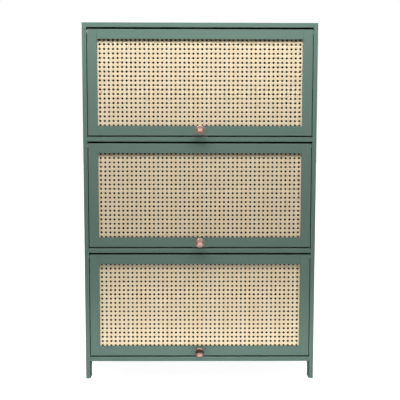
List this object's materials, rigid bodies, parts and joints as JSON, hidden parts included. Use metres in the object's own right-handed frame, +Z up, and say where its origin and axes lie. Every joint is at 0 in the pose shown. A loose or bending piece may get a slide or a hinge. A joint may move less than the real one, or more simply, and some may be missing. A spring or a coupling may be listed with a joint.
{
  "type": "shoe cabinet",
  "caption": "Tall narrow shoe cabinet on short legs, with stacked cane-panelled doors that swing up on pivots, each with a round knob at its bottom edge.",
  "frame": {"origin": "on the floor, in the middle of the cabinet's width and of its depth with the knobs counted", "axes": "+Z up, the doors face -Y, +X is to the right seen from the front"},
  "size_m": [0.7, 0.326, 1.08],
  "materials": {
    "painted_board": "satin sage-green paint over board",
    "back_board": "thin painted hardboard",
    "cane": "natural open cane webbing",
    "strip_wood": "painted softwood strip",
    "beech": "bare fluted beech",
    "rose_metal": "satin rose-gold plating",
    "zinc_plated_steel": "bright zinc plate",
    "zinc": "die-cast zinc",
    "nylon": "moulded nylon",
    "ferrite": "sintered ferrite"
  },
  "bodies": {
    "carcass": {"back_panel": "back_board", "back_screws": "zinc_plated_steel", "board_dowels": "beech", "bottom_panel": "painted_board", "cam_bolts": "zinc_plated_steel", "cam_locks": "zinc", "catch_housings": "nylon", "catch_magnets": "ferrite", "catch_pole_plates": "zinc_plated_steel", "catch_screws": "zinc_plated_steel", "foot_glides": "nylon", "left_side_panel": "painted_board", "lower_divider": "painted_board", "lower_shelf": "painted_board", "middle_shelf": "painted_board", "pivot_bushes": "nylon", "right_side_panel": "painted_board", "shelf_pins": "zinc_plated_steel", "top_panel": "painted_board", "upper_divider": "painted_board", "upper_shelf": "painted_board"},
    "lower_door": {"lower_door_bottom_rail": "painted_board", "lower_door_cane": "cane", "lower_door_frame_dowels": "beech", "lower_door_knob": "rose_metal", "lower_door_knob_screw": "zinc_plated_steel", "lower_door_left_stile": "painted_board", "lower_door_long_strips": "strip_wood", "lower_door_pivot_pins": "zinc_plated_steel", "lower_door_right_stile": "painted_board", "lower_door_short_strips": "strip_wood", "lower_door_strike_plate": "zinc_plated_steel", "lower_door_strike_screws": "zinc_plated_steel", "lower_door_top_rail": "painted_board"},
    "middle_door": {"middle_door_bottom_rail": "painted_board", "middle_door_cane": "cane", "middle_door_frame_dowels": "beech", "middle_door_knob": "rose_metal", "middle_door_knob_screw": "zinc_plated_steel", "middle_door_left_stile": "painted_board", "middle_door_long_strips": "strip_wood", "middle_door_pivot_pins": "zinc_plated_steel", "middle_door_right_stile": "painted_board", "middle_door_short_strips": "strip_wood", "middle_door_strike_plate": "zinc_plated_steel", "middle_door_strike_screws": "zinc_plated_steel", "middle_door_top_rail": "painted_board"},
    "upper_door": {"upper_door_bottom_rail": "painted_board", "upper_door_cane": "cane", "upper_door_frame_dowels": "beech", "upper_door_knob": "rose_metal", "upper_door_knob_screw": "zinc_plated_steel", "upper_door_left_stile": "painted_board", "upper_door_long_strips": "strip_wood", "upper_door_pivot_pins": "zinc_plated_steel", "upper_door_right_stile": "painted_board", "upper_door_short_strips": "strip_wood", "upper_door_strike_plate": "zinc_plated_steel", "upper_door_strike_screws": "zinc_plated_steel", "upper_door_top_rail": "painted_board"}
  },
  "joints": [
    {"name": "lower_door_hinge", "type": "hinge", "parent": "carcass", "child": "lower_door", "pos_m": [0, -0.1295, 0.37967], "axis": [-1, 0, 0], "range_deg": [0, 90]},
    {"name": "middle_door_hinge", "type": "hinge", "parent": "carcass", "child": "middle_door", "pos_m": [0, -0.1295, 0.71633], "axis": [-1, 0, 0], "range_deg": [0, 90]},
    {"name": "upper_door_hinge", "type": "hinge", "parent": "carcass", "child": "upper_door", "pos_m": [0, -0.1295, 1.053], "axis": [-1, 0, 0], "range_deg": [0, 90]}
  ]
}
